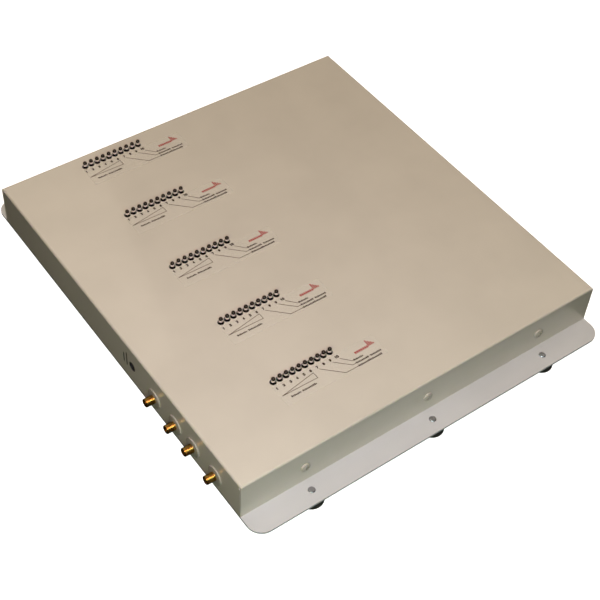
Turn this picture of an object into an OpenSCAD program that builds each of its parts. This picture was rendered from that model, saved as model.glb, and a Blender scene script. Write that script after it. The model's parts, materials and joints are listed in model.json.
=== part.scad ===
// Five-band cellular signal booster in a folded sheet-steel case.
// Origin: middle of the whole footprint, jacks included, on the plane that the feet stand on.
// +Z is up, the antenna jacks point along -X, and +Y runs along the wall that carries them.

/* [Case] */
// Width of the cover, from the connector wall to the blank wall
case_w = 300; // [298:1:330]
// Depth of the cover, along the connector wall
case_d = 315; // [314:1:330]
// Height of the cover above the base plate
cover_h = 32.5; // [32:0.5:40]
// Sheet thickness of the cover
sheet_t = 1.2; // [1:0.1:1.4]
// Outer radius of the folded top edges
fold_r = 1.5; // [1.5:0.1:3]
// Width of the open seam beside each upright corner
seam_w = 0.3; // [0.2:0.1:0.6]
// Radius of the relief hole at the top of each seam
relief_r = 1.1; // [0.8:0.1:1.3]

/* [Base plate] */
// Thickness of the base plate
plate_t = 1.5; // [1:0.1:2]
// Width of each mounting flange beyond the cover
flange_w = 18.5; // [18:0.5:26]
// Corner radius of the flanges
flange_r = 11; // [6:0.5:14]
// Spacing of the three feet and cover screws along each flange
screw_pitch = 100.8; // [98:0.2:104]
// Distance of the foot screws from the wall of the cover
foot_gap = 8.5; // [7.5:0.5:9]

/* [Feet] */
// Height of a rubber foot
foot_h = 8.5; // [8:0.5:14]
// Radius of a rubber foot
foot_r = 9; // [8:0.5:10]

/* [Antenna jacks] */
// Radius over the thread of a jack
jack_r = 3.175; // [3.1:0.005:3.25]
// Length of a jack outside the cover
jack_out = 7.8; // [7:0.1:10]
// Height of the jack axes above the inside of the base plate
jack_h = 11.7; // [11:0.1:12]
// Radius of the round dress nut on each jack
dress_r = 7.2; // [6:0.1:8]

/* [Power inlet] */
// Distance of the inlet from the middle of the connector wall
inlet_y = -27.7; // [-29:0.1:-25]
// Height of the inlet axis above the inside of the base plate
inlet_h = 15.6; // [15:0.1:17]
// Radius of the inlet's bore
inlet_bore_r = 2.88; // [2.85:0.01:3]

/* [Indicators] */
// Spacing of the indicators in a row
led_pitch = 5.08; // [5:0.01:5.2]
// Spacing of the rows, which is also the spacing of the band boards
row_pitch = 61.6; // [61:0.1:61.8]
// Distance of the first indicator of a row from the connector wall
led_inset = 63; // [61:0.5:66]
// Distance of the first row from the front flange wall
row_inset = 56.2; // [55:0.1:57]
// Radius of an indicator hole
led_hole_r = 2.05; // [2:0.01:2.2]
// Height of an indicator's tip above the cover
led_out = 5; // [3.5:0.1:5.5]

/* [Hidden] */

$fn = 64;
small_fn = 32;

// How far a cut reaches past the face that it opens
over = 1;
// Clearance of a part that is slipped over another
slip = 0.03;

// Counts and stations
row_count = 5;
led_count = 10;
jack_stations = [-129, -103.3, -81.9, -56.1];

// Planes of the case
wall_x = -(case_w - jack_out) / 2;
case_x = wall_x + case_w / 2;
inner_x = wall_x + sheet_t;
wall_y = case_d / 2;
inner_y = wall_y - sheet_t;
floor_z = foot_h + plate_t;
top_z = floor_z + cover_h;

// Screws, nuts and brackets
cover_screw_h = 15.5;
cover_screw_r = 1.95;
tapped_r = 2;
screw_clear_r = 2.2;
foot_screw_r = 2.45;
foot_hole_r = 2.55;
foot_web = 3.1;
foot_washer_t = 0.8;
recess_reach = 0.55;
bracket_w = 14;
bracket_h = 21;
bracket_t = 1.5;
bracket_foot = 10;

// Antenna jacks, measured along their axes from the outside of the wall
jack_hole_r = 3.3;
jack_neck_r = jack_r - 0.35;
jack_bore_r = 2.06;
core_r = 2.05;
core_recess = 1.9;
core_hole_r = 0.66;
contact_r = 0.65;
dress_t = 1;
star_t = 0.5;
shoulder_t = 2;
tail_l = 8;
tail_end = sheet_t + star_t + shoulder_t + tail_l;
jack_z = floor_z + jack_h;

// Power inlet, measured along its axis from the outside of the wall
neck_r = 3.7;
inlet_block_w = 9;
inlet_block_h = 11;
inlet_block_l = 13;
inlet_depth = 10;
pin_r = 1.05;
pin_recess = 1.4;
inlet_z = floor_z + inlet_h;

// Circuit boards
board_t = 1.6;
low_board_z = floor_z + 5;
low_board_top = low_board_z + board_t;
board_hole_r = 1.65;
hole_inset = 4;
can_h = 8;
can_t = 0.4;

// Band boards, one under each indicator row
board_x = wall_x + 46;
board_w = 248;
board_d = 56;
board_corner_x = 5;
board_corner_y = 19;
uplink_x = 114;
downlink_x = 178;
shield_w = 52;
shield_d = 42;

// Splitter board, between the jacks and the band boards
splitter_x = wall_x + 22.5;
splitter_w = 17.5;
splitter_l = 298;
splitter_can_x = splitter_x + 0.5;
splitter_can_w = 16.5;
port_h = 3.4;
port_z = low_board_top + port_h;
port_y = 12;
pigtail_r = 1.3;
coax_r = 0.9;
ferrule_l = 2;
socket_x = board_x + 1;

// Power board, beside the connector wall
power_gap = 0.6;
power_x = inner_x + power_gap;
power_w = 18;
power_y = -44;
power_d = 110;
power_board_top = inlet_z - inlet_block_h / 2;
choke_stations = [-12, 6];
capacitor_stations = [24, 35];
regulator_y = 46;
post_x = power_x + 15.7;
post_y = 40;
bus_x = board_x + 3;
bus_z = power_board_top + 5.5;
post_r = 2.2;
strip_t = 1;
strip_w = 5;

// Indicators, their boards and their labels
led_r = 1.5;
led_rim_r = 1.9;
led_base_z = top_z - 2.3;
led_board_top = top_z - 7;
led_board_bottom = led_board_top - board_t;
lead_w = 0.5;
lead_x = 1.27;
label_t = 0.15;
label_w = 82;
label_d = 18.5;

function row_at(i) = row_inset - wall_y + i * row_pitch;
function board_at(i) = (i - (row_count - 1) / 2) * row_pitch;

// A prism along +X from x = 0, standing on z = 0, with both upper edges rounded
module arched_bar(length, w, h, r) {
    rotate([90, 0, 90])
        linear_extrude(length)
            union() {
                translate([-w / 2, 0]) square([w, h - r]);
                translate([-w / 2 + r, 0]) square([w - 2 * r, h]);
                for (s = [-1, 1])
                    translate([s * (w / 2 - r), h - r]) circle(r);
            }
}

// A block whose four upper edges are folded to a radius and mitred at the corners
module folded_block(w, d, h, r) {
    intersection() {
        translate([-w / 2, 0, 0]) arched_bar(w, d, h, r);
        translate([0, -d / 2, 0]) rotate([0, 0, 90]) arched_bar(d, w, h, r);
    }
}

// A flat sheet with rounded corners, from the corner at the origin
module rounded_sheet(w, d, r, t) {
    linear_extrude(t)
        union() {
            translate([r, 0]) square([w - 2 * r, d]);
            translate([0, r]) square([w, d - 2 * r]);
            for (x = [r, w - r])
                for (y = [r, d - r])
                    translate([x, y]) circle(r);
        }
}

// A tube or washer along +Z
module ring(r_out, r_in, h) {
    difference() {
        cylinder(r = r_out, h = h);
        translate([0, 0, -over]) cylinder(r = r_in, h = h + 2 * over);
    }
}

// A crossed recess to cut from a screw head, open at z = 0 and sunk below it
module cross_recess(r, depth) {
    slot_w = 0.8;
    for (a = [0, 90])
        rotate([0, 0, a])
            translate([-r, -slot_w / 2, -depth]) cube([2 * r, slot_w, depth + over]);
}

// A pan-headed screw pointing down, with the underside of its head at z = 0
module pan_screw(shank_r, shank_l, head_r, head_h) {
    crown_r = 2 * head_r;
    recess_depth = 0.6;
    difference() {
        union() {
            intersection() {
                cylinder(r = head_r, h = head_h);
                translate([0, 0, head_h - crown_r]) sphere(r = crown_r);
            }
            translate([0, 0, -shank_l]) cylinder(r = shank_r, h = shank_l);
        }
        translate([0, 0, head_h]) cross_recess(head_r * recess_reach, head_h * recess_depth);
    }
}

// An open-bottomed shield can
module shield_can(w, d, h) {
    difference() {
        cube([w, d, h]);
        translate([can_t, can_t, -over]) cube([w - 2 * can_t, d - 2 * can_t, h - can_t + over]);
    }
}

// Places its children, drawn for the front flange, at three stations of both flanges
module at_flanges() {
    translate([case_x, 0, 0])
        for (side = [0, 180])
            rotate([0, 0, side])
                for (i = [-1:1])
                    translate([i * screw_pitch, -wall_y, 0]) children();
}

// Places its children at each antenna jack, with +Z pointing out of the wall
module at_jacks() {
    for (y = jack_stations)
        translate([wall_x, y, jack_z]) rotate([0, -90, 0]) children();
}

// Places its children at each indicator of one row
module at_leds(row) {
    for (i = [0:led_count - 1])
        translate([wall_x + led_inset + i * led_pitch, row_at(row), 0]) children();
}

// Places its children at each band board, in the middle of its depth
module at_boards() {
    for (row = [0:row_count - 1])
        translate([board_x, board_at(row), 0]) children();
}

// Places its children at the fixing holes of the low boards
module at_low_holes() {
    at_boards()
        for (x = [board_corner_x, board_w - board_corner_x])
            for (y = [-board_corner_y, board_corner_y])
                translate([x, y, 0]) children();
    for (y = [-1, 0, 1])
        translate([splitter_x + splitter_w / 2, y * (splitter_l / 2 - hole_inset), 0]) children();
}

// Places its children at the fixing holes of the power board
module at_power_holes() {
    for (y = [power_y + hole_inset, power_y + power_d - hole_inset])
        translate([power_x + power_w - hole_inset, y, 0]) children();
}

// Places its children at the ten splitter ports, two for each band board
module at_ports(x) {
    for (row = [0:row_count - 1])
        for (y = [-port_y, port_y])
            translate([x, board_at(row) + y, port_z]) children();
}

// Floor of the case and both mounting flanges, in one sheet
module base_plate() {
    full_d = case_d + 2 * flange_w;
    color("ivory")
        difference() {
            translate([wall_x, -full_d / 2, foot_h])
                rounded_sheet(case_w, full_d, flange_r, plate_t);
            at_flanges()
                translate([0, -foot_gap, foot_h - over])
                    cylinder(r = foot_hole_r, h = plate_t + 2 * over);
        }
}

// Five-sided folded cover, with an open seam beside each upright corner
module cover() {
    cut = 5;
    seam_top = top_z - fold_r - relief_r;
    color("ivory")
        difference() {
            translate([case_x, 0, floor_z]) folded_block(case_w, case_d, cover_h, fold_r);
            translate([case_x, 0, floor_z - over])
                folded_block(case_w - 2 * sheet_t, case_d - 2 * sheet_t,
                    cover_h - sheet_t + over, fold_r - sheet_t);
            for (sx = [-1, 1])
                for (sy = [-1, 1])
                    translate([case_x + sx * case_w / 2, sy * (inner_y - seam_w / 2), 0]) {
                        translate([-sheet_t, -seam_w / 2, floor_z - over])
                            cube([2 * sheet_t, seam_w, seam_top - floor_z + over]);
                        translate([-sheet_t, 0, seam_top])
                            rotate([0, 90, 0]) cylinder(r = relief_r, h = 2 * sheet_t, $fn = small_fn);
                    }
            for (row = [0:row_count - 1])
                at_leds(row)
                    translate([0, 0, top_z - cut / 2])
                        cylinder(r = led_hole_r, h = cut, $fn = small_fn);
            at_jacks()
                translate([0, 0, -cut / 2]) cylinder(r = jack_hole_r, h = cut);
            translate([wall_x - cut / 2, inlet_y, inlet_z])
                rotate([0, 90, 0]) cylinder(r = neck_r, h = cut);
            at_flanges()
                translate([0, -cut / 2, floor_z + cover_screw_h])
                    rotate([-90, 0, 0]) cylinder(r = screw_clear_r, h = cut);
        }
}

// Angle brackets spot-welded to the base plate, behind the cover screws
module cover_brackets() {
    color("lightgray")
        at_flanges()
            difference() {
                translate([-bracket_w / 2, sheet_t, floor_z])
                    union() {
                        cube([bracket_w, bracket_t, bracket_h]);
                        cube([bracket_w, bracket_foot, bracket_t]);
                    }
                translate([0, 0, floor_z + cover_screw_h])
                    rotate([-90, 0, 0]) cylinder(r = tapped_r, h = sheet_t + bracket_t + over);
            }
}

// Threaded clinch nuts pressed onto the brackets
module clinch_nuts() {
    nut_r = 3.6;
    nut_t = 3;
    color("silver")
        at_flanges()
            translate([0, sheet_t + bracket_t, floor_z + cover_screw_h])
                rotate([-90, 0, 0]) ring(nut_r, tapped_r, nut_t);
}

// Painted pan-headed screws through the two flange-side walls of the cover
module cover_screws() {
    shank_l = 8;
    head_r = 3.5;
    head_h = 2;
    color("ivory")
        at_flanges()
            translate([0, 0, floor_z + cover_screw_h])
                rotate([90, 0, 0]) pan_screw(cover_screw_r, shank_l, head_r, head_h);
}

// Round bumper feet under the flanges, each with a recess for its screw head
module rubber_feet() {
    chamfer = 0.7;
    recess_r = 5;
    recess_h = foot_h - foot_web;
    color([0.12, 0.12, 0.12])
        at_flanges()
            translate([0, -foot_gap, 0])
                rotate_extrude()
                    polygon([
                        [recess_r, 0],
                        [foot_r - chamfer, 0],
                        [foot_r, chamfer],
                        [foot_r, foot_h],
                        [foot_hole_r, foot_h],
                        [foot_hole_r, recess_h],
                        [recess_r, recess_h]
                    ]);
}

// Steel washers that sit in the recesses of the feet
module foot_washers() {
    washer_r = 4.8;
    color("silver")
        at_flanges()
            translate([0, -foot_gap, foot_h - foot_web - foot_washer_t])
                ring(washer_r, foot_hole_r, foot_washer_t);
}

// Screws that rise through the feet: their tips show on top of the flanges
module foot_screws() {
    head_r = 4.2;
    head_h = 2.4;
    head_top = foot_h - foot_web - foot_washer_t;
    head_bottom = head_top - head_h;
    recess_h = 1.4;
    tip_h = 0.6;
    chamfer = 0.5;
    color("silver")
        at_flanges()
            translate([0, -foot_gap, 0])
                difference() {
                    rotate_extrude()
                        polygon([
                            [0, head_bottom],
                            [head_r, head_bottom],
                            [head_r, head_top],
                            [foot_screw_r, head_top],
                            [foot_screw_r, floor_z + tip_h - chamfer],
                            [foot_screw_r - chamfer, floor_z + tip_h],
                            [0, floor_z + tip_h]
                        ]);
                    translate([0, 0, head_bottom])
                        rotate([180, 0, 0]) cross_recess(head_r * recess_reach, recess_h);
                }
}

// Thin round nuts that dress the jack holes from outside
module dress_nuts() {
    color("gainsboro")
        at_jacks() ring(dress_r, jack_neck_r + slip, dress_t);
}

// Gold-plated jack bodies: thread outside, neck through the wall, hexagonal shoulder and crimp tail inside
module jack_shells() {
    chamfer = 0.45;
    neck_end = -sheet_t - star_t;
    mouth_r = 2.3;
    shoulder_r = 4.6;
    tail_r = 2.9;
    color("goldenrod")
        at_jacks()
            difference() {
                union() {
                    rotate_extrude()
                        polygon([
                            [0, neck_end - shoulder_t],
                            [jack_neck_r, neck_end - shoulder_t],
                            [jack_neck_r, dress_t],
                            [jack_r, dress_t],
                            [jack_r, jack_out - chamfer],
                            [jack_r - chamfer, jack_out],
                            [0, jack_out]
                        ]);
                    translate([0, 0, neck_end - shoulder_t])
                        cylinder(r = shoulder_r, h = shoulder_t, $fn = 6);
                    translate([0, 0, -tail_end]) cylinder(r = tail_r, h = tail_l + shoulder_t);
                }
                translate([0, 0, jack_out - core_recess]) cylinder(r = mouth_r, h = core_recess + over);
                translate([0, 0, -tail_end - over]) cylinder(r = jack_bore_r, h = tail_end + jack_out);
            }
}

// White plastic cores of the jacks
module jack_insulators() {
    color("white")
        at_jacks()
            translate([0, 0, -tail_end])
                ring(core_r, core_hole_r, tail_end + jack_out - core_recess);
}

// Gold-plated centre contacts, each with a socket in its outer end
module jack_contacts() {
    socket_r = 0.46;
    socket_l = 3;
    color("gold")
        at_jacks()
            difference() {
                translate([0, 0, -tail_end])
                    cylinder(r = contact_r, h = tail_end + jack_out - core_recess);
                translate([0, 0, jack_out - core_recess - socket_l])
                    cylinder(r = socket_r, h = socket_l + over, $fn = small_fn);
            }
}

// Toothed washers between the cover and the shoulders of the jacks
module star_washers() {
    body_r = 4.1;
    tooth_root = 0.5;
    tooth_l = 0.6;
    tooth_w = 1;
    tooth_step = 30;
    color("silver")
        at_jacks()
            translate([0, 0, -sheet_t - star_t])
                difference() {
                    union() {
                        cylinder(r = body_r, h = star_t);
                        for (a = [0:tooth_step:360 - tooth_step])
                            rotate([0, 0, a])
                                translate([body_r - tooth_root, -tooth_w / 2, 0])
                                    cube([tooth_root + tooth_l, tooth_w, star_t]);
                    }
                    translate([0, 0, -over]) cylinder(r = jack_neck_r + slip, h = star_t + 2 * over);
                }
}

// Black moulded inlet on the power board: its neck fills the hole in the cover
module power_inlet_body() {
    color([0.08, 0.08, 0.08])
        translate([wall_x, inlet_y, inlet_z])
            rotate([0, 90, 0])
                difference() {
                    union() {
                        cylinder(r = neck_r, h = sheet_t + over);
                        translate([-inlet_block_h / 2, -inlet_block_w / 2, sheet_t])
                            cube([inlet_block_h, inlet_block_w, inlet_block_l]);
                    }
                    translate([0, 0, -over]) cylinder(r = inlet_bore_r, h = inlet_depth + over);
                    translate([0, 0, inlet_depth - over])
                        cylinder(r = pin_r, h = inlet_block_l);
                }
}

// Centre pin of the inlet, riveted over at the back
module power_inlet_pin() {
    rivet_r = 1.6;
    rivet_t = 0.6;
    pin_l = sheet_t + inlet_block_l - pin_recess;
    color("silver")
        translate([wall_x + pin_recess, inlet_y, inlet_z])
            rotate([0, 90, 0])
                union() {
                    cylinder(r = pin_r, h = pin_l);
                    translate([0, 0, pin_l]) cylinder(r = rivet_r, h = rivet_t);
                }
}

// Places its children at the inlet's three solder tabs, on top of the power board
module at_tabs() {
    first = 4;
    step = 4;
    for (i = [0:2])
        translate([inner_x + first + i * step, inlet_y, power_board_top]) children();
}

// Solder tabs under the inlet, down through the power board
module power_inlet_tabs() {
    tab_w = 2;
    tab_t = 0.4;
    tab_out = 1.2;
    tab_l = board_t + tab_out;
    color("silver")
        at_tabs()
            translate([-tab_t / 2, -tab_w / 2, -tab_l]) cube([tab_t, tab_w, tab_l]);
}

// One row of ten clear 3 mm indicators with their leads
module led_row(row) {
    rim_t = 1;
    lead_out = 1.5;
    dome_z = top_z + led_out - led_r;
    lead_end = led_board_bottom - lead_out;
    color([0.8, 0.76, 0.74])
        at_leds(row)
            union() {
                translate([0, 0, led_base_z])
                    cylinder(r = led_rim_r, h = rim_t, $fn = small_fn);
                translate([0, 0, led_base_z])
                    cylinder(r = led_r, h = dome_z - led_base_z, $fn = small_fn);
                translate([0, 0, dome_z]) sphere(r = led_r, $fn = small_fn);
                for (s = [-1, 1])
                    translate([s * lead_x - lead_w / 2, -lead_w / 2, lead_end])
                        cube([lead_w, lead_w, led_base_z - lead_end]);
            }
}

module led_row_1() { led_row(0); }
module led_row_2() { led_row(1); }
module led_row_3() { led_row(2); }
module led_row_4() { led_row(3); }
module led_row_5() { led_row(4); }

// Narrow circuit boards that hold the indicators
module led_boards() {
    strip_over = 8;
    strip_l = (led_count - 1) * led_pitch + 2 * strip_over;
    strip_d = 12;
    hole = 0.7;
    color("darkgreen")
        for (row = [0:row_count - 1])
            difference() {
                translate([wall_x + led_inset - strip_over, row_at(row) - strip_d / 2, led_board_bottom])
                    cube([strip_l, strip_d, board_t]);
                at_leds(row)
                    for (s = [-1, 1])
                        translate([s * lead_x - hole / 2, -hole / 2, led_board_bottom - over])
                            cube([hole, hole, board_t + 2 * over]);
            }
}

// Hexagonal pillars that carry each indicator board on its band board
module led_board_pillars() {
    pillar_r = 2.2;
    beyond = 5;
    color("silver")
        for (row = [0:row_count - 1])
            for (x = [-beyond, (led_count - 1) * led_pitch + beyond])
                translate([wall_x + led_inset + x, row_at(row), low_board_top])
                    cylinder(r = pillar_r, h = led_board_bottom - low_board_top, $fn = 6);
}

// Pin headers that join each indicator board to its band board
module led_headers() {
    header_x = 10;
    header_y = -5.5;
    header_l = 25.4;
    header_w = 2.5;
    color([0.1, 0.1, 0.1])
        for (row = [0:row_count - 1])
            translate([wall_x + led_inset + header_x, row_at(row) + header_y, low_board_top])
                cube([header_l, header_w, led_board_bottom - low_board_top]);
}

// Clear film labels on the cover, one beside each indicator row
module band_labels() {
    corner = 1;
    before_led = 3.2;
    below_row = 3.3;
    color([0.85, 0.82, 0.76])
        for (row = [0:row_count - 1])
            translate([wall_x + led_inset - before_led, row_at(row) - below_row - label_d, top_z])
                rounded_sheet(label_w, label_d, corner, label_t);
}

// One amplifier board per band
module band_boards() {
    color("green")
        difference() {
            at_boards()
                translate([0, -board_d / 2, low_board_z]) cube([board_w, board_d, board_t]);
            at_low_holes()
                translate([0, 0, low_board_z - over])
                    cylinder(r = board_hole_r, h = board_t + 2 * over, $fn = small_fn);
        }
}

// Hexagonal standoffs under the low boards and the power board
module board_standoffs() {
    hex_r = 3.1;
    thread_r = 1.55;
    blind = 1;
    color("gold") {
        at_low_holes()
            translate([0, 0, floor_z])
                difference() {
                    cylinder(r = hex_r, h = low_board_z - floor_z, $fn = 6);
                    translate([0, 0, blind]) cylinder(r = thread_r, h = low_board_z, $fn = small_fn);
                }
        at_power_holes()
            translate([0, 0, floor_z])
                difference() {
                    cylinder(r = hex_r, h = power_board_top - board_t - floor_z, $fn = 6);
                    translate([0, 0, blind]) cylinder(r = thread_r, h = power_board_top, $fn = small_fn);
                }
    }
}

// Screws that hold the boards to their standoffs
module board_screws() {
    shank_r = 1.5;
    shank_l = 5;
    head_r = 2.8;
    head_h = 1.8;
    color("silver") {
        at_low_holes()
            translate([0, 0, low_board_top]) pan_screw(shank_r, shank_l, head_r, head_h);
        at_power_holes()
            translate([0, 0, power_board_top]) pan_screw(shank_r, shank_l, head_r, head_h);
    }
}

// Aluminium blocks that carry the amplifiers' heat down to the base plate
module heat_blocks() {
    block_w = 34;
    block_d = 30;
    color("silver")
        at_boards()
            for (x = [uplink_x, downlink_x])
                translate([x + (shield_w - block_w) / 2, -block_d / 2, floor_z])
                    cube([block_w, block_d, low_board_z - floor_z]);
}

// Shields over the uplink amplifiers
module uplink_shields() {
    color("lightgray")
        at_boards()
            translate([uplink_x, -shield_d / 2, low_board_top])
                shield_can(shield_w, shield_d, can_h);
}

// Shields over the downlink amplifiers
module downlink_shields() {
    color("lightgray")
        at_boards()
            translate([downlink_x, -shield_d / 2, low_board_top])
                shield_can(shield_w, shield_d, can_h);
}

// Ceramic duplexer filters, two on each band board
module duplexer_filters() {
    filter_x = 80;
    filter_w = 24;
    filter_d = 12;
    filter_h = 7;
    filter_gap = 6;
    color("tan")
        at_boards()
            for (y = [-filter_d - filter_gap, 0])
                translate([filter_x, y, low_board_top]) cube([filter_w, filter_d, filter_h]);
}

// Board that splits the antenna signals between the bands
module splitter_board() {
    color("green")
        difference() {
            translate([splitter_x, -splitter_l / 2, low_board_z])
                cube([splitter_w, splitter_l, board_t]);
            at_low_holes()
                translate([0, 0, low_board_z - over])
                    cylinder(r = board_hole_r, h = board_t + 2 * over, $fn = small_fn);
        }
}

// The two shields of the splitter board, on either side of its middle screw
module splitter_shields() {
    end_gap = 8;
    middle_gap = 4;
    can_l = splitter_l / 2 - end_gap - middle_gap;
    color("lightgray")
        for (y = [-splitter_l / 2 + end_gap, middle_gap])
            translate([splitter_can_x, y, low_board_top]) shield_can(splitter_can_w, can_l, can_h);
}

// Ferrules where the coaxial cables enter the splitter shields
module coax_ferrules() {
    inlet_r = 2;
    port_r = 1.5;
    color("gold") {
        for (y = jack_stations)
            translate([splitter_can_x - ferrule_l, y, jack_z])
                rotate([0, 90, 0]) cylinder(r = inlet_r, h = ferrule_l);
        at_ports(splitter_can_x + splitter_can_w)
            rotate([0, 90, 0]) cylinder(r = port_r, h = ferrule_l);
    }
}

// Coaxial cables from the tails of the jacks to the splitter shields
module jack_pigtails() {
    start = wall_x + tail_end;
    color("sienna")
        for (y = jack_stations)
            translate([start, y, jack_z])
                rotate([0, 90, 0]) cylinder(r = pigtail_r, h = splitter_can_x - ferrule_l - start);
}

// Coaxial sockets at the near end of each band board
module board_sockets() {
    block_l = 4;
    block_w = 5;
    block_h = 6;
    color("gold")
        at_ports(socket_x)
            translate([0, -block_w / 2, -port_h]) cube([block_l, block_w, block_h]);
}

// Coaxial jumpers from the splitter shields to the band boards
module band_jumpers() {
    start = splitter_can_x + splitter_can_w + ferrule_l;
    color("sienna")
        at_ports(start)
            rotate([0, 90, 0]) cylinder(r = coax_r, h = socket_x - start);
}

// Power supply board, which also carries the inlet
module power_board() {
    slot_w = 2.2;
    slot_t = 0.6;
    color("darkgreen")
        difference() {
            translate([power_x, power_y, power_board_top - board_t])
                cube([power_w, power_d, board_t]);
            at_power_holes()
                translate([0, 0, power_board_top - board_t - over])
                    cylinder(r = board_hole_r, h = board_t + 2 * over, $fn = small_fn);
            at_tabs()
                translate([-slot_t / 2, -slot_w / 2, -board_t - over])
                    cube([slot_t, slot_w, board_t + 2 * over]);
        }
}

// Ring-shaped chokes on the power board
module power_chokes() {
    choke_r = 7.5;
    hole_r = 3.6;
    choke_h = 7;
    color("dimgray")
        for (y = choke_stations)
            translate([power_x + power_w / 2, y, power_board_top]) ring(choke_r, hole_r, choke_h);
}

// Upright capacitors on the power board
module power_capacitors() {
    can_r = 4.5;
    capacitor_h = 15;
    side_gap = 1;
    color("navy")
        for (y = capacitor_stations)
            translate([power_x + side_gap + can_r, y, power_board_top])
                cylinder(r = can_r, h = capacitor_h);
}

// Switching regulator on the power board
module power_regulator() {
    side = 10;
    height = 4.5;
    side_gap = 2;
    color([0.15, 0.15, 0.15])
        translate([power_x + side_gap, regulator_y, power_board_top]) cube([side, side, height]);
}

// Posts that hold the power link and the bus strip above the boards
module power_posts() {
    color("silver") {
        translate([post_x, post_y, power_board_top])
            cylinder(r = post_r, h = bus_z + strip_t - power_board_top, $fn = small_fn);
        at_boards()
            translate([bus_x - board_x, 0, low_board_top])
                cylinder(r = post_r, h = bus_z - low_board_top, $fn = small_fn);
    }
}

// Copper link from the power board to the bus strip, lying on top of it
module power_link() {
    link_x = post_x - strip_w / 2;
    color("peru")
        translate([link_x, post_y - strip_w / 2, bus_z + strip_t])
            cube([bus_x + strip_w / 2 - link_x, strip_w, strip_t]);
}

// Copper strip that feeds all band boards
module power_bus() {
    beyond = 8;
    color("peru")
        translate([bus_x - strip_w / 2, board_at(0) - beyond, bus_z])
            cube([strip_w, (row_count - 1) * row_pitch + 2 * beyond, strip_t]);
}

base_plate();
cover();
cover_brackets();
clinch_nuts();
cover_screws();
rubber_feet();
foot_washers();
foot_screws();
dress_nuts();
jack_shells();
jack_insulators();
jack_contacts();
star_washers();
power_inlet_body();
power_inlet_pin();
power_inlet_tabs();
led_row_1();
led_row_2();
led_row_3();
led_row_4();
led_row_5();
led_boards();
led_board_pillars();
led_headers();
band_labels();
band_boards();
board_standoffs();
board_screws();
heat_blocks();
uplink_shields();
downlink_shields();
duplexer_filters();
splitter_board();
splitter_shields();
coax_ferrules();
jack_pigtails();
board_sockets();
band_jumpers();
power_board();
power_chokes();
power_capacitors();
power_regulator();
power_posts();
power_link();
power_bus();
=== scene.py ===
"""A cellular signal booster on a pale floor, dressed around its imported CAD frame.

Everything is in metres, in the CAD model's own frame: +Z up, the antenna jacks point along -X.
"""

import json
import math

import bmesh
import bpy
from mathutils import Matrix, Vector


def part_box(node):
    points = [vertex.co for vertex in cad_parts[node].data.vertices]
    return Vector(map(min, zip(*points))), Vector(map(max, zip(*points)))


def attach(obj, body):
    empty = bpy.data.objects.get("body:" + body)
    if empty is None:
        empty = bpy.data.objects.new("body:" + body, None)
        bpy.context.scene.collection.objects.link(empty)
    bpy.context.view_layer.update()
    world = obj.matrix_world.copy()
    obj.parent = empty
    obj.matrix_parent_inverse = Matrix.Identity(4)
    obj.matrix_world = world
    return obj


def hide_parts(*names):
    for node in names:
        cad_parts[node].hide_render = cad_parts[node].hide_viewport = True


MM = 0.001
BODY = "root"

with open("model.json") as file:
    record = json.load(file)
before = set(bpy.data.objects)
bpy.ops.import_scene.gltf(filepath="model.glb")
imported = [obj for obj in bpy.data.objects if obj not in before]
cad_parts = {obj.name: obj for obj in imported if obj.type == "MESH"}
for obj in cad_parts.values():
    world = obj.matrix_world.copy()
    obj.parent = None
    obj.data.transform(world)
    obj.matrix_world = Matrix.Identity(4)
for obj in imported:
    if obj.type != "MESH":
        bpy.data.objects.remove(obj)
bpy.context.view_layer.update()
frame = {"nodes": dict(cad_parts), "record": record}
NODES = frame["nodes"]
RECORD = frame["record"]
SLOT_OF = {part["node"]: part["material_slot"] for part in RECORD["subparts"]}
MOUNTS = {mount["name"]: mount for mount in RECORD["mounts"]}

COVER_LOW, COVER_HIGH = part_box("cover")
PLATE_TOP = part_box("base_plate")[1].z
LED_ROWS = [f"led_row_{i}" for i in range(1, 6)]
LED_COUNT = 10


# ---------------------------------------------------------------- materials

# A noise node's values lie mostly between these two.
NOISE_LOW = 0.3
NOISE_HIGH = 0.7


def tone(colour, factor):
    """A darker or lighter version of a colour."""
    return tuple(min(1.0, part * factor) for part in colour)


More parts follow.
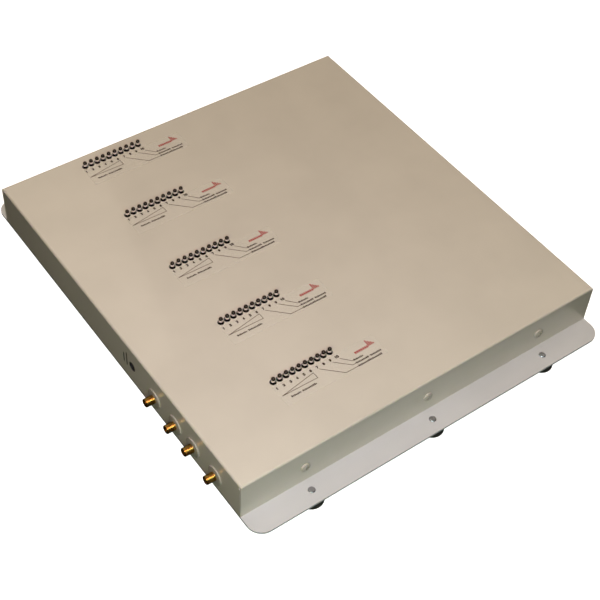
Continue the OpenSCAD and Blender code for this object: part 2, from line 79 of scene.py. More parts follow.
class Shader:
    """A Principled material whose nodes are added one call at a time."""

    def __init__(self, name, **sockets):
        self.material = bpy.data.materials.new(name)
        self.material.use_nodes = True
        self.tree = self.material.node_tree
        self.principled = self.tree.nodes["Principled BSDF"]
        self.coordinate = self.tree.nodes.new("ShaderNodeTexCoord").outputs["Object"]
        for socket, value in sockets.items():
            self.principled.inputs[socket.replace("_", " ")].default_value = value

    def feed(self, socket, value):
        """Links an output to a socket, or sets the socket's own value."""
        if isinstance(value, bpy.types.NodeSocket):
            self.tree.links.new(value, socket)
        else:
            socket.default_value = value

    def node(self, kind, **inputs):
        """Adds a node. Each input is a value or an output to link; underscores stand for spaces."""
        made = self.tree.nodes.new(kind)
        for name, value in inputs.items():
            self.feed(made.inputs[name.replace("_", " ")], value)
        return made

    def link(self, output, socket):
        """Links an output to a socket of the Principled node."""
        self.tree.links.new(output, self.principled.inputs[socket])

    def axis(self, name):
        """One coordinate of the point, in the CAD model's frame."""
        return self.node("ShaderNodeSeparateXYZ", Vector=self.coordinate).outputs[name]

    def maths(self, operation, first, second):
        """One operation on two numbers or outputs, such as LESS_THAN or MULTIPLY."""
        made = self.tree.nodes.new("ShaderNodeMath")
        made.operation = operation
        self.feed(made.inputs[0], first)
        self.feed(made.inputs[1], second)
        return made.outputs["Value"]

    def mix(self, factor, first, second):
        """Blends from the first colour to the second."""
        made = self.tree.nodes.new("ShaderNodeMix")
        made.data_type = "RGBA"
        self.feed(made.inputs["Factor"], factor)
        colours = [socket for socket in made.inputs if socket.type == "RGBA"]
        for socket, colour in zip(colours, (first, second)):
            self.feed(socket, colour)
        return next(socket for socket in made.outputs if socket.type == "RGBA")

    def noise(self, size, detail=2.0, stretch=(1, 1, 1)):
        """Noise from 0 to 1 with features about size metres across, stretched along the axes."""
        mapping = self.node("ShaderNodeMapping", Vector=self.coordinate, Scale=stretch)
        texture = self.node(
            "ShaderNodeTexNoise", Vector=mapping.outputs["Vector"], Scale=1 / size, Detail=detail
        )
        return texture.outputs["Fac"]

    def ramp(self, fac, stops, interpolation="LINEAR"):
        """A colour ramp through (position, colour) stops."""
        made = self.node("ShaderNodeValToRGB", Fac=fac)
        made.color_ramp.interpolation = interpolation
        elements = made.color_ramp.elements
        while len(elements) < len(stops):
            elements.new(0.5)
        for element, (position, colour) in zip(elements, stops):
            element.position = position
            element.color = (*colour, 1)
        return made.outputs["Color"]

    def mottle(self, noise, dark, light):
        """Runs from a dark colour to a light one over the middle of a noise."""
        return self.ramp(noise, [(NOISE_LOW, dark), (NOISE_HIGH, light)])

    def spread(self, noise, low, high):
        """Maps the middle of a noise to the range from low to high."""
        made = self.node(
            "ShaderNodeMapRange",
            Value=noise,
            From_Min=NOISE_LOW,
            From_Max=NOISE_HIGH,
            To_Min=low,
            To_Max=high,
        )
        return made.outputs["Result"]

    def bump(self, height, depth, normal=None):
        """Bumps the surface by depth metres. Chains onto an earlier bump's normal."""
        made = self.node("ShaderNodeBump", Height=height, Strength=1.0, Distance=depth)
        if normal is not None:
            self.feed(made.inputs["Normal"], normal)
        self.link(made.outputs["Normal"], "Normal")
        return made.outputs["Normal"]


def shade_plate_edge(shader, paint):
    """The paint, with painted shade on the plate's cut edge below the jacks' wall."""
    beside = shader.maths("LESS_THAN", shader.axis("X"), COVER_LOW.x + EDGE_MARGIN)
    below = shader.maths("LESS_THAN", shader.axis("Z"), PLATE_TOP + EDGE_MARGIN)
    return shader.mix(shader.maths("MULTIPLY", beside, below), paint, (*PLATE_EDGE_SHADE, 1))


def powder_coat(name, colour, coat, roughness):
    """Semi-gloss powder coat: fine orange peel over slight blotches, with painted shade on the
    plate's edge.
    """
    shader = Shader(name, IOR=1.5, Coat_Weight=coat, Coat_Roughness=COAT_ROUGHNESS)
    blotch = shader.noise(45 * MM, detail=3)
    paint = shader.ramp(blotch, [(0.35, tone(colour, 0.97)), (0.65, tone(colour, 1.02))])
    shader.link(shade_plate_edge(shader, paint), "Base Color")
    shader.link(shader.spread(shader.noise(9 * MM), roughness * 0.9, roughness * 1.1), "Roughness")
    peel = shader.bump(shader.noise(0.9 * MM, detail=1), 0.004 * MM)
    shader.bump(shader.noise(0.25 * MM, detail=2), 0.002 * MM, peel)
    return shader.material


def plated(name, colour, roughness, grain=(1, 1, 1), grain_size=0.6 * MM):
    """Plated or bare metal with a fine grain."""
    shader = Shader(name, Metallic=1.0)
    grain_noise = shader.noise(grain_size, detail=4, stretch=grain)
    shader.link(
        shader.mottle(grain_noise, tone(colour, 0.85), tone(colour, 1.08)), "Base Color"
    )
    shader.link(shader.spread(grain_noise, roughness * 0.8, roughness * 1.2), "Roughness")
    shader.bump(grain_noise, 0.004 * MM)
    return shader.material


def moulded(name, colour, roughness, pore=0.35 * MM, depth=0.01 * MM, **sockets):
    """Moulded rubber, plastic or ceramic with a fine skin texture."""
    shader = Shader(name, **sockets)
    skin = shader.noise(pore, detail=3)
    patch = shader.noise(12 * pore, detail=2)
    shader.link(shader.mottle(patch, tone(colour, 0.82), tone(colour, 1.18)), "Base Color")
    shader.link(shader.spread(skin, roughness * 0.85, roughness * 1.15), "Roughness")
    shader.bump(skin, depth)
    return shader.material


def circuit_board(name, colour):
    """Solder mask over copper tracks."""
    shader = Shader(name, Coat_Weight=0.4, Coat_Roughness=0.2)
    tracks = shader.node(
        "ShaderNodeTexBrick",
        Vector=shader.coordinate,
        Scale=TRACK_SCALE,
        Color1=(*colour, 1),
        Color2=(*tone(colour, 1.25), 1),
        Mortar=(*tone(colour, 1.9), 1),
        Mortar_Size=TRACK_GAP,
    )
    shader.link(tracks.outputs["Color"], "Base Color")
    shader.link(shader.spread(shader.noise(3 * MM), 0.3, 0.45), "Roughness")
    shader.bump(tracks.outputs["Fac"], 0.03 * MM)
    return shader.material


def lens_painted_by_height(name, top):
    """Unlit clear epoxy, painted by height above the height top: painted shade, a painted
    highlight, a dark dome.
    """
    shader = Shader(name, Coat_Weight=0.1, Coat_Roughness=0.05, IOR=1.3)
    level = shader.node(
        "ShaderNodeMapRange", Value=shader.axis("Z"), From_Min=top, From_Max=top + LENS_SPAN
    )
    shader.link(
        shader.ramp(level.outputs["Result"], LENS_LIGHT_AND_SHADE, interpolation="EASE"), "Base Color"
    )
    shader.link(shader.spread(shader.noise(0.8 * MM), 0.12, 0.2), "Roughness")
    shader.bump(shader.noise(0.5 * MM), 0.004 * MM)
    return shader.material


def clear_film(name):
    """Clear self-adhesive film with a faint matt ripple."""
    shader = Shader(name, Base_Color=(0.95, 0.94, 0.90, 1), IOR=1.45, Alpha=FILM_ALPHA)
    shader.link(shader.spread(shader.noise(6 * MM), 0.2, 0.3), "Roughness")
    shader.bump(shader.noise(4 * MM), 0.004 * MM)
    return shader.material


def ink(name, colour):
    """Printed ink with slightly uneven density."""
    shader = Shader(name, IOR=1.25)
    density = shader.noise(0.5 * MM, detail=3)
    shader.link(shader.mottle(density, tone(colour, 0.85), tone(colour, 1.2)), "Base Color")
    shader.link(shader.spread(density, 0.4, 0.55), "Roughness")
    return shader.material


# Colours are linear. COOL_WHITE came out of the same fit as LIGHTS below.
IVORY = (0.66, 0.62, 0.55)
COOL_WHITE = (0.602, 0.613, 0.647)
COAT_WEIGHT = 0.45
COAT_ROUGHNESS = 0.05
DRESS_COAT = 0.05
PAINT_ROUGHNESS = 0.38
# Painted shade on the plate's cut edge below the jacks' wall.
PLATE_EDGE_SHADE = (0.06, 0.05, 0.045)
EDGE_MARGIN = 0.02 * MM
TRACK_SCALE = 130.0
TRACK_GAP = 0.06
FILM_ALPHA = 0.06
LENS_SPAN = 5.0 * MM
# Painted light and shade of an indicator, from the cover's face up to its tip: painted shade at the
# foot, a painted highlight on the waist and a dark dome painted for the dark inside seen through
# it.
LENS_LIGHT_AND_SHADE = [
    (0.0, (0.004, 0.004, 0.006)),
    (0.27, (0.006, 0.004, 0.005)),
    (0.33, (0.80, 0.66, 0.63)),
    (0.56, (0.80, 0.66, 0.63)),
    (0.64, (0.018, 0.014, 0.012)),
    (1.0, (0.030, 0.022, 0.018)),
]

MATERIALS = {
    "body_paint": powder_coat("body_paint", IVORY, COAT_WEIGHT, PAINT_ROUGHNESS),
    "plate_paint": powder_coat("plate_paint", COOL_WHITE, COAT_WEIGHT, PAINT_ROUGHNESS),
    # The round nuts' paint is a darker copy of the body's ivory: painted shade that tones down the
    # light on their rounded rims.
    "dress_finish": powder_coat("dress_finish", tone(IVORY, 0.58), DRESS_COAT, 0.7),
    "zinc_steel": plated("zinc_steel", (0.48, 0.49, 0.55), 0.45),
    "tin_plate": plated("tin_plate", (0.62, 0.62, 0.60), 0.4),
    "bare_aluminium": plated("bare_aluminium", (0.66, 0.67, 0.68), 0.35, grain=(1, 8, 1)),
    "gold_plate": plated("gold_plate", (0.68, 0.41, 0.12), 0.17, grain_size=0.3 * MM),
    "copper": plated("copper", (0.80, 0.42, 0.26), 0.3, grain=(8, 1, 8)),
    "foot_rubber": moulded("foot_rubber", (0.05, 0.046, 0.046), 0.75, depth=0.03 * MM),
    "black_plastic": moulded("black_plastic", (0.012, 0.012, 0.013), 0.45),
    "white_plastic": moulded("white_plastic", (0.75, 0.74, 0.70), 0.5),
    "ceramic": moulded("ceramic", (0.50, 0.40, 0.28), 0.6),
    "ferrite": moulded("ferrite", (0.05, 0.05, 0.055), 0.65),
    "coax_jacket": moulded("coax_jacket", (0.16, 0.06, 0.03), 0.4),
    "sleeve_film": moulded("sleeve_film", (0.015, 0.025, 0.10), 0.3, Coat_Weight=0.5),
    "circuit_board": circuit_board("circuit_board", (0.015, 0.10, 0.035)),
    "led_lens": lens_painted_by_height("led_lens", COVER_HIGH.z),
    "label_film": clear_film("label_film"),
}
DARK_INK = ink("dark_ink", (0.045, 0.026, 0.018))
LINE_INK = ink("line_ink", (0.11, 0.078, 0.06))
RED_INK = ink("red_ink", (0.42, 0.09, 0.085))
# The cover screws' paint is a darker copy of the body's ivory: painted shade that tones down the
# light on their heads.
SHADED_SCREW_PAINT = powder_coat("shaded_screw_paint", tone(IVORY, 0.75), DRESS_COAT, 0.6)
MARK_INK = ink("mark_ink", (0.02, 0.02, 0.018))
# Painted shade round the indicators' holes.
HOLE_SHADE_TONE = moulded("hole_shade", (0.02, 0.017, 0.016), 0.6)

# Nodes whose look differs from their slot's: the cover screws get painted shade.
NODE_MATERIALS = {"cover_screws": SHADED_SCREW_PAINT}


def dress_nodes():
    """Gives each CAD node its own material where it has one, or else its slot's."""
    for name, node in NODES.items():
        node.data.materials.clear()
        node.data.materials.append(NODE_MATERIALS.get(name, MATERIALS[SLOT_OF[name]]))


# ---------------------------------------------------------------- mesh helpers

SHARP_ANGLE = math.radians(30)


def finish_piece(name, mesh_data, material, smooth=False):
    """Turns a bmesh into an object that rides on the body."""
    mesh = bpy.data.meshes.new(name)
    bmesh.ops.recalc_face_normals(mesh_data, faces=mesh_data.faces)
    mesh_data.to_mesh(mesh)
    mesh_data.free()
    for polygon in mesh.polygons:
        polygon.use_smooth = smooth
    if smooth:
        mesh.set_sharp_from_angle(angle=SHARP_ANGLE)
    mesh.materials.append(material)
    piece = bpy.data.objects.new(name, mesh)
    bpy.context.scene.collection.objects.link(piece)
    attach(piece, BODY)
    return piece


def add_prism(mesh_data, outline, low, high, place=None):
    """Adds a closed prism over a flat outline, from height low to high."""
    rings = []
    for height in (low, high):
        points = [Vector((x, y, height)) for x, y in outline]
        if place is not None:
            points = [place @ point for point in points]
        rings.append([mesh_data.verts.new(point) for point in points])
    bottom, top = rings
    mesh_data.faces.new(reversed(bottom))
    mesh_data.faces.new(top)
    for i in range(len(outline)):
        j = (i + 1) % len(outline)
        mesh_data.faces.new((bottom[i], bottom[j], top[j], top[i]))


def join_rings(mesh_data, rings):
    """Joins each ring of points to the next one, and the last to the first."""
    for near, far in zip(rings, rings[1:] + rings[:1]):
        for side in range(len(near)):
            other = (side + 1) % len(near)
            mesh_data.faces.new((near[side], near[other], far[other], far[side]))


def bar(x0, x1, y, height):
    """The outline of a level bar whose middle is at y."""
    return [
        (x0, y - height / 2),
        (x1, y - height / 2),
        (x1, y + height / 2),
        (x0, y + height / 2),
    ]


def stroke(start, end, width):
    """The outline of a straight line of some width, a little longer than its two points."""
    a, b = Vector(start), Vector(end)
    along = (b - a).normalized() * width / 2
    across = Vector((-along.y, along.x))
    return [
        tuple(a - along - across),
        tuple(b + along - across),
        tuple(b + along + across),
        tuple(a - along + across),
    ]


# ---------------------------------------------------------------- labels

# Label artwork in millimetres, from the middle of the digit under the first indicator. The printed
# digits stand a little further apart than the indicators.
DIGIT_PITCH = 5.35
DIGIT_HEIGHT = 2.2
DIGIT_STROKE = 0.6
DIGIT_ADVANCE = 1.45
# Each digit is one path over a grid of this many steps.
DIGIT_GRID = (6, 10)
DIGIT_PATHS = {
    "0": [(2, 0), (0, 2), (0, 8), (2, 10), (4, 10), (6, 8), (6, 2), (4, 0), (2, 0)],
    "1": [(1, 8), (3, 10), (3, 0)],
    "2": [(0, 8), (2, 10), (4, 10), (6, 8), (6, 6), (0, 0), (6, 0)],
    "3": [(0, 10), (6, 10), (3, 6), (6, 4), (6, 2), (4, 0), (0, 0)],
    "4": [(4, 0), (4, 10), (0, 3), (6, 3)],
    "5": [(6, 10), (0, 10), (0, 6), (4, 6), (6, 4), (6, 2), (4, 0), (0, 0)],
    "6": [(5, 10), (2, 9), (0, 6), (0, 2), (2, 0), (4, 0), (6, 2), (6, 4), (4, 6), (0, 5)],
    "7": [(0, 10), (6, 10), (2, 0)],
    "8": [(3, 5), (0, 7), (2, 10), (4, 10), (6, 7), (0, 3), (2, 0), (4, 0), (6, 3), (3, 5)],
    "9": [(1, 0), (4, 1), (6, 4), (6, 8), (4, 10), (2, 10), (0, 8), (0, 6), (2, 4), (6, 5)],
}
# The wedge under the first six digits, and the leaders from three of the digits to their words.
WEDGE = [(-0.6, -6.8), (27.2, -2.3), (27.4, -7.2)]
LEADERS = [
    [(32.6, -2.0), (45.4, -14.2), (55.7, -14.2)],
    [(43.5, -2.3), (53.0, -11.4), (55.7, -11.4)],
    [(49.2, -2.3), (55.0, -8.6), (55.7, -8.6)],
]
LINE_WIDTH = 0.38
# Plain blocks stand in for words. Their sizes repeat in turn, with heights as shares of a word's.
WORD_HEIGHT = 1.2
BLOCK_WIDTHS = [0.95, 0.6, 0.95, 0.75, 1.05, 0.6, 0.85, 0.95]
BLOCK_HEIGHTS = [1.25, 0.9, 1.1, 0.9, 0.9, 1.2, 0.9, 1.15]
BLOCK_GAP = 0.32
# Each word's low end, high end and middle height.
WORDS = [
    (4.0, 11.4, -10.6),
    (12.9, 24.0, -10.6),
    (56.0, 63.7, -8.6),
    (56.0, 66.6, -11.4),
    (67.9, 77.4, -11.4),
    (56.0, 75.4, -14.2),
]
# A row of plain red blocks, and plain red bars that fall to the right.
RED_WORD_X = 60.2
RED_WORD_Y = -4.1
RED_WORD_HEIGHT = 1.9
RED_BLOCKS = 7
RED_BLOCK_PITCH = 1.65
RED_BLOCK_WIDTH = 1.25
SIGNAL_BARS = 4
SIGNAL_BAR_X = 71.7
SIGNAL_BAR_PITCH = 1.35
SIGNAL_BAR_WIDTH = 0.95
SIGNAL_BAR_BASE = -4.3
SIGNAL_BAR_STEP = 1.35
# The labels are stuck on by hand: each one's first digit from its first indicator, in millimetres.
LABEL_SHIFTS = [(-0.8, -5.9), (-1.3, -5.7), (-1.3, -4.6), (-1.5, -4.9), (-1.9, -5.7)]
# The ink lies between these heights over its surface. Each stroke of a path is lifted a little more
# than the one before, so that no two faces coincide where they cross.
INK_LOW = 0.005
INK_HIGH = 0.02
STROKE_LIFT = 0.0005


def block_row(x0, x1, y):
    """Plain blocks of uneven size in place of a word, standing on one line from x0 to x1."""
    base = y - WORD_HEIGHT / 2
    outlines = []
    i = 0
    while x0 < x1 - BLOCK_GAP:
        end = min(x1, x0 + BLOCK_WIDTHS[i % len(BLOCK_WIDTHS)])
        height = WORD_HEIGHT * BLOCK_HEIGHTS[i % len(BLOCK_HEIGHTS)]
        outlines.append(bar(x0, end, base + height / 2, height))
        x0 = end + BLOCK_GAP
        i += 1
    return outlines


def first_led(row_name):
    """Place (x, y) of the first indicator of a row, in metres."""
    low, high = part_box(row_name)
    radius = (high.y - low.y) / 2
    return Vector((low.x + radius, (low.y + high.y) / 2))


def add_ink(mesh_data, outline, place, lift=0.0):
    """Adds one flat printed shape."""
    add_prism(mesh_data, outline, INK_LOW + lift, INK_HIGH + lift, place)


def add_path(mesh_data, points, width, place):
    """Adds a printed line through some points, one stroke after another."""
    for i, (start, end) in enumerate(zip(points, points[1:])):
        add_ink(mesh_data, stroke(start, end, width), place, STROKE_LIFT * i)


def add_number(mesh_data, text, x, place):
    """Adds a printed number centred at x on the label's base line."""
    columns, lines = DIGIT_GRID
    scale = (DIGIT_HEIGHT - DIGIT_STROKE) / lines
    start = x - (len(text) - 1) * DIGIT_ADVANCE / 2
    for position, digit in enumerate(text):
        middle = Vector((start + position * DIGIT_ADVANCE, 0))
        points = [
            middle + Vector((across - columns / 2, up - lines / 2)) * scale
            for across, up in DIGIT_PATHS[digit]
        ]
        add_path(mesh_data, points, DIGIT_STROKE, place)


def label_words(place):
    """The dark print of a label: the digits, and blocks in place of words."""
    words = bmesh.new()
    for x0, x1, y in WORDS:
        for outline in block_row(x0, x1, y):
            add_ink(words, outline, place)
    for i in range(LED_COUNT):
        add_number(words, str(i + 1), i * DIGIT_PITCH, place)
    return words


def label_lines(place):
    """The thin lines of a label: the wedge, and the leaders from three of the digits."""
    lines = bmesh.new()
    for path in [WEDGE + WEDGE[:1], *LEADERS]:
        add_path(lines, path, LINE_WIDTH, place)
    return lines


def label_mark(place):
    """The red print of a label: plain blocks, then plain bars."""
    mark = bmesh.new()
    for i in range(RED_BLOCKS):
        x = RED_WORD_X + i * RED_BLOCK_PITCH
        add_ink(mark, bar(x, x + RED_BLOCK_WIDTH, RED_WORD_Y, RED_WORD_HEIGHT), place)
    for i in range(SIGNAL_BARS):
        x = SIGNAL_BAR_X + i * SIGNAL_BAR_PITCH
        height = (SIGNAL_BARS - i) * SIGNAL_BAR_STEP
        add_ink(mark, bar(x, x + SIGNAL_BAR_WIDTH, SIGNAL_BAR_BASE + height / 2, height), place)
    return mark


def print_label(index, row_name):
    """The dark and red printing of one label, as thin raised ink on its film."""
    led = first_led(row_name)
    shift_x, shift_y = LABEL_SHIFTS[index]
    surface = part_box("band_labels")[1].z
    origin = Vector((led.x + shift_x * MM, led.y + shift_y * MM, surface))
    place = Matrix.Translation(origin) @ Matrix.Scale(MM, 4)
    number = index + 1
    finish_piece(f"label_words_{number}", label_words(place), DARK_INK)
    finish_piece(f"label_lines_{number}", label_lines(place), LINE_INK)
    finish_piece(f"label_mark_{number}", label_mark(place), RED_INK)


def print_labels():
    """The printing of all five labels."""
    for index, row_name in enumerate(LED_ROWS):
        print_label(index, row_name)


FILM_CORNER = 1.0 * MM
FILM_GAP = 0.02 * MM
CORNER_STEPS = 6


def rounded_outline(x0, y0, x1, y1, corner):
    """The outline of a rectangle with round corners."""
    centres = [
        (x1 - corner, y1 - corner),
        (x0 + corner, y1 - corner),
        (x0 + corner, y0 + corner),
        (x1 - corner, y0 + corner),
    ]
    outline = []
    for turn, (x, y) in enumerate(centres):
        for step in range(CORNER_STEPS + 1):
            angle = math.pi / 2 * (turn + step / CORNER_STEPS)
            outline.append((x + corner * math.cos(angle), y + corner * math.sin(angle)))
    return outline


def lay_films():
    """The clear film of each label, just above the paint so that no faces coincide."""
    low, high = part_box("band_labels")
    films = bmesh.new()
    rows = [first_led(name).y for name in LED_ROWS]
    depth = (high.y - low.y) - (rows[-1] - rows[0])
    for row in rows:
        y0 = low.y + row - rows[0]
        outline = rounded_outline(low.x, y0, high.x, y0 + depth, FILM_CORNER)
        add_prism(films, outline, low.z + FILM_GAP, high.z)
    film = finish_piece("label_films", films, MATERIALS["label_film"])
    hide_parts("band_labels")


# Painted shade round the indicators' holes, as thin dark rings standing for the shadow in the gap
# round each indicator, in millimetres from the hole's middle and from the paint.
HOLE_RADIUS = 2.05
RIM_WIDTH = 0.35
RIM_LOW = 0.004
RIM_HIGH = 0.015
RIM_SIDES = 40


def add_shade_ring(mesh_data, centre):
    """Adds painted shade round one indicator's hole, as a thin dark ring on the paint."""
    outer = HOLE_RADIUS + RIM_WIDTH
    section = [
        (HOLE_RADIUS, RIM_LOW),
        (outer, RIM_LOW),
        (outer, RIM_HIGH),
        (HOLE_RADIUS, RIM_HIGH),
    ]
    rings = []
    for radius, height in section:
        ring = []
        for side in range(RIM_SIDES):
            angle = math.tau * side / RIM_SIDES
            offset = Vector((radius * math.cos(angle), radius * math.sin(angle), height))
            ring.append(mesh_data.verts.new(centre + offset * MM))
        rings.append(ring)
    join_rings(mesh_data, rings)


def paint_hole_shade():
    """One piece per row with the painted shade round its ten holes."""
    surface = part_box("band_labels")[0].z
    for index, row_name in enumerate(LED_ROWS):
        first = first_led(row_name)
        low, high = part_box(row_name)
        # A row is one indicator deep, and one indicator longer than its pitches together.
        pitch = ((high.x - low.x) - (high.y - low.y)) / (LED_COUNT - 1)
        shade_rings = bmesh.new()
        for i in range(LED_COUNT):
            add_shade_ring(shade_rings, Vector((first.x + i * pitch, first.y, surface)))
        finish_piece(f"hole_shade_rings_{index + 1}", shade_rings, HOLE_SHADE_TONE)


# Two plain printed bars beside the inlet, in millimetres: distance from the inlet's axis, low and
# high ends.
INLET_BARS = [(10.8, -4.6, 4.6), (7.0, -4.9, 7.9)]
INLET_BAR_WIDTH = 1.2


def print_inlet_marks():
    """Plain bars on the connector wall where the real case has lettering."""
    mouth = Vector(MOUNTS["power_inlet"]["pos_m"])
    place = Matrix.Translation(mouth) @ Matrix.Rotation(-math.pi / 2, 4, "Y") @ Matrix.Scale(MM, 4)
    marks = bmesh.new()
    for y, low, high in INLET_BARS:
        add_ink(marks, bar(low, high, y, INLET_BAR_WIDTH), place)
    finish_piece("inlet_marks", marks, MARK_INK)


# ---------------------------------------------------------------- jack threads

# Sizes of the jacks. CREST and ROOT are the shares of the thread's pitch that stay flat.
THREAD_PITCH = 25.4 / 36 * MM
THREAD_DEPTH = 0.2 * MM
CREST = 0.4
ROOT = 0.15
JACK_CHAMFER = 0.45 * MM
JACK_MOUTH_RADIUS = 2.3 * MM
JACK_BORE_RADIUS = 2.06 * MM
JACK_ROOT_RADIUS = 2.84 * MM
NECK_BACK = 1.7 * MM
SHOULDER_BACK = 3.7 * MM
SHOULDER_RADIUS = 3.98 * MM
TAIL_RADIUS = 2.9 * MM
DRESS_ROUND = 0.4 * MM
DRESS_LIFT = 0.01 * MM
ROUND_STEPS = 5
JACK_MOUTH_DEPTH = 1.9 * MM
THREAD_SIDES = 48
RINGS_PER_PITCH = 10


def thread_radius(distance, angle, length, radius):
    """Radius of the threaded barrel at a distance along it and an angle round its axis."""
    phase = (distance / THREAD_PITCH - angle / math.tau) % 1.0
    tooth = 1 - abs(2 * phase - 1)
    groove = min(1.0, max(0.0, (tooth - CREST) / (1 - CREST - ROOT)))
    run_out = min(1.0, distance / THREAD_PITCH)
    thread = radius - THREAD_DEPTH * groove * run_out
    chamfer = radius - max(0.0, distance - (length - JACK_CHAMFER))
    return min(thread, chamfer)


def add_rings(mesh_data, centre, profile):
    """Adds a closed surface round an axis along -X, through rings given as (distance, radius).

    A radius is a number, or a function of the angle round the axis.
    """
    rings = []
    for distance, radius in profile:
        ring = []
        for side in range(THREAD_SIDES):
            angle = math.tau * side / THREAD_SIDES
            reach = radius(angle) if callable(radius) else radius
            offset = Vector((-distance, reach * math.cos(angle), reach * math.sin(angle)))
            ring.append(mesh_data.verts.new(centre + offset))
        rings.append(ring)
    join_rings(mesh_data, rings)


def dress_piece(centres):
    """The round nuts behind the jacks, with their front edges rounded over."""
    low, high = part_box("dress_nuts")
    thickness = high.x - low.x
    radius = (high.y - low.y - (centres[-1].y - centres[0].y)) / 2
    profile = [(DRESS_LIFT, JACK_ROOT_RADIUS), (DRESS_LIFT, radius)]
    for step in range(ROUND_STEPS + 1):
        angle = math.pi / 2 * step / ROUND_STEPS
        inset = Vector((1 - math.sin(angle), 1 - math.cos(angle))) * DRESS_ROUND
        profile.append((thickness - inset.x, radius - inset.y))
    profile.append((thickness, JACK_ROOT_RADIUS))
    nuts = bmesh.new()
    for centre in centres:
        add_rings(nuts, centre, profile)
    piece = finish_piece("dress_discs", nuts, MATERIALS["dress_finish"], True)
    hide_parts("dress_nuts")


def jack_piece(index, mount):
    """One antenna jack's shell, from its tail inside the case to its threaded tip."""
    radius = mount["dims"]["r_mm"] * MM
    wall = COVER_LOW.x
    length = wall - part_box("jack_shells")[0].x
    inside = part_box("jack_shells")[1].x - wall
    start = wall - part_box("dress_nuts")[0].x
    thread = length - start
    count = math.ceil(thread / THREAD_PITCH * RINGS_PER_PITCH)
    centre = Vector((wall, mount["pos_m"][1], mount["pos_m"][2]))
    profile = [
        (-inside, TAIL_RADIUS),
        (-SHOULDER_BACK, TAIL_RADIUS),
        (-SHOULDER_BACK, SHOULDER_RADIUS),
        (-NECK_BACK, SHOULDER_RADIUS),
        (-NECK_BACK, JACK_ROOT_RADIUS),
        (start, JACK_ROOT_RADIUS),
    ]
    for step in range(count + 1):
        along = thread * step / count
        profile.append(
            (start + along, lambda angle, along=along: thread_radius(along, angle, thread, radius))
        )
    profile += [
        (length, JACK_MOUTH_RADIUS),
        (length - JACK_MOUTH_DEPTH, JACK_MOUTH_RADIUS),
        (length - JACK_MOUTH_DEPTH, JACK_BORE_RADIUS),
        (-inside, JACK_BORE_RADIUS),
    ]
    shell = bmesh.new()
    add_rings(shell, centre, profile)
    piece = finish_piece(f"jack_barrel_{index}", shell, MATERIALS["gold_plate"], True)
    return piece, centre


def thread_jacks():
    """The four threaded shells and their round nuts."""
    jacks = [name for name in sorted(MOUNTS) if name.startswith("antenna_jack")]
    made = [jack_piece(i + 1, MOUNTS[name]) for i, name in enumerate(jacks)]
    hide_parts("jack_shells")
    dress_piece([centre for _, centre in made])


# ---------------------------------------------------------------- stage

# These were fitted to the case's edges in the photograph.
CAMERA_PLACE = (-0.3915, -0.5057, 0.6914)
CAMERA_AZIMUTH = -38.90
CAMERA_ELEVATION = 48.14
CAMERA_ROLL = 4.19
CAMERA_LENS = 75.86
CAMERA_SENSOR = 36.0
IMAGE_SIDE = 600
CAMERA_SHIFT = 0.5 / IMAGE_SIDE
CLIP_START = 0.01
CLIP_END = 50.0
FLOOR_HALF = 60.0
FLOOR_PATCH = 0.8
FLOOR_DARK = (0.86, 0.86, 0.86)
FLOOR_LIGHT = (0.9, 0.9, 0.9)
WHITE = (1, 1, 1, 1)
LIGHT_TARGET = (0, 0, 0.02)


def make_camera():
    """The camera at the photograph's place and angle."""
    data = bpy.data.cameras.new("camera")
    data.sensor_width = CAMERA_SENSOR
    data.lens = CAMERA_LENS
    data.shift_x = -CAMERA_SHIFT
    data.shift_y = CAMERA_SHIFT
    data.clip_start = CLIP_START
    data.clip_end = CLIP_END
    camera = bpy.data.objects.new("camera", data)
    bpy.context.scene.collection.objects.link(camera)
    azimuth = math.radians(CAMERA_AZIMUTH)
    elevation = math.radians(CAMERA_ELEVATION)
    back = Vector(
        (
            math.sin(azimuth) * math.cos(elevation),
            -math.cos(azimuth) * math.cos(elevation),
            math.sin(elevation),
        )
    )
    roll = Matrix.Rotation(math.radians(CAMERA_ROLL), 4, "Z")
    look = (-back).to_track_quat("-Z", "Y").to_matrix().to_4x4()
    camera.matrix_world = Matrix.Translation(CAMERA_PLACE) @ look @ roll
    bpy.context.scene.camera = camera


def make_floor():
    """A plain pale floor that the object stands on. It glows, so that it stays white."""
    floor = bmesh.new()
    corners = bar(-FLOOR_HALF, FLOOR_HALF, 0, 2 * FLOOR_HALF)
    floor.faces.new([floor.verts.new((x, y, 0)) for x, y in corners])
    mesh = bpy.data.meshes.new("floor")
    floor.to_mesh(mesh)
    floor.free()
    shader = Shader("floor_paint", Roughness=0.9, Emission_Color=WHITE, Emission_Strength=1.0)
    patches = shader.noise(FLOOR_PATCH)
    shader.link(shader.mottle(patches, FLOOR_DARK, FLOOR_LIGHT), "Base Color")
    mesh.materials.append(shader.material)
    floor_object = bpy.data.objects.new("floor", mesh)
    floor_object.visible_diffuse = False
    floor_object.visible_glossy = False
    bpy.context.scene.collection.objects.link(floor_object)


def area_light(name, place, size, power, colour):
    """A square soft box that faces the object."""
    data = bpy.data.lights.new(name, "AREA")
    data.size = size
    data.energy = power
    data.color = colour
    light = bpy.data.objects.new(name, data)
    bpy.context.scene.collection.objects.link(light)
    aim = (Vector(LIGHT_TARGET) - Vector(place)).to_track_quat("-Z", "Y")
    light.matrix_world = Matrix.Translation(place) @ aim.to_matrix().to_4x4()
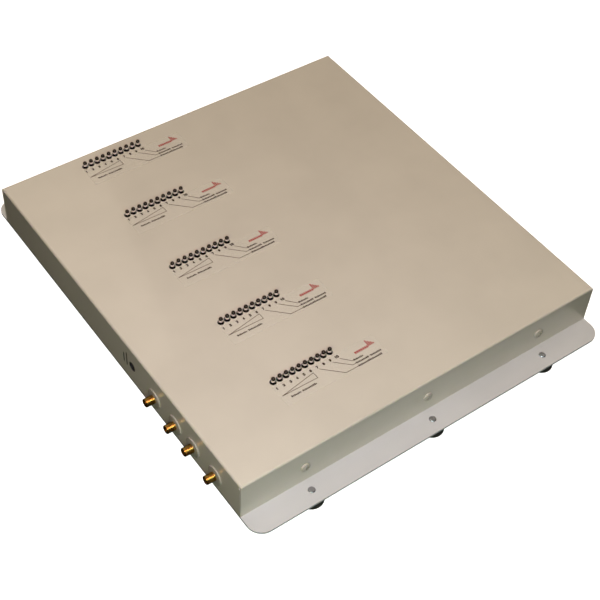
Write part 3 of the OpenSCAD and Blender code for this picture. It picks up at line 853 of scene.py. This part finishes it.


# Name, place, side, watts and colour of each soft box. The places and sides are given. The watts,
# the tints and the surround's colours below came out of a scratch program, which fitted them to the
# photograph's shades. So this light isn't plain, and the table is another program's output:
# report.md names both as departures from the brief.
LIGHTS = [
    ("key", (-0.45, -0.40, 0.45), 0.2, 0.96, (0.97, 1, 0.5)),
    ("corner_fill", (-0.30, -0.50, 0.50), 0.2, 1.11, (0.5, 1, 1)),
    ("near_fill", (-0.25, -0.25, 0.45), 0.2, 0.55, (0.88, 0.5, 1)),
    ("front_fill", (-0.5, -0.9, 2.0), 0.8, 14.4, (1, 0.7, 0.5)),
    ("top_fill", (0, 0, 1.5), 1.0, 3.2, (1, 0.85, 0.6)),
    ("right_fill", (1.0, 0, 0.9), 0.6, 2.1, (1, 0.9, 0.72)),
    ("back_fill", (0, 1.1, 1.0), 0.8, 2.7, (1, 0.9, 0.72)),
]
# The surround's colour from straight down, through level, to straight up.
SKY = [(0.0, (0.01, 0.009, 0.0075)), (0.5, (0.02, 0.018, 0.015)), (1.0, (0.024, 0.022, 0.018))]


def make_world(stops):
    """A soft surround whose colour depends on height."""
    world = bpy.data.worlds.new("surround")
    world.use_nodes = True
    bpy.context.scene.world = world
    tree = world.node_tree
    background = tree.nodes["Background"]
    coordinate = tree.nodes.new("ShaderNodeTexCoord")
    split = tree.nodes.new("ShaderNodeSeparateXYZ")
    tree.links.new(coordinate.outputs["Generated"], split.inputs["Vector"])
    level = tree.nodes.new("ShaderNodeMapRange")
    level.inputs["From Min"].default_value = -1
    tree.links.new(split.outputs["Z"], level.inputs["Value"])
    ramp = tree.nodes.new("ShaderNodeValToRGB")
    elements = ramp.color_ramp.elements
    while len(elements) < len(stops):
        elements.new(0.5)
    for element, (position, colour) in zip(elements, stops):
        element.position = position
        element.color = (*colour, 1)
    tree.links.new(level.outputs["Result"], ramp.inputs["Fac"])
    tree.links.new(ramp.outputs["Color"], background.inputs["Color"])


def make_studio():
    """The camera, the floor, the surround and the lights."""
    bpy.context.scene.view_settings.view_transform = "Standard"
    make_camera()
    make_floor()
    make_world(SKY)
    for light in LIGHTS:
        area_light(*light)


dress_nodes()
lay_films()
print_labels()
paint_hole_shade()
print_inlet_marks()
thread_jacks()
make_studio()
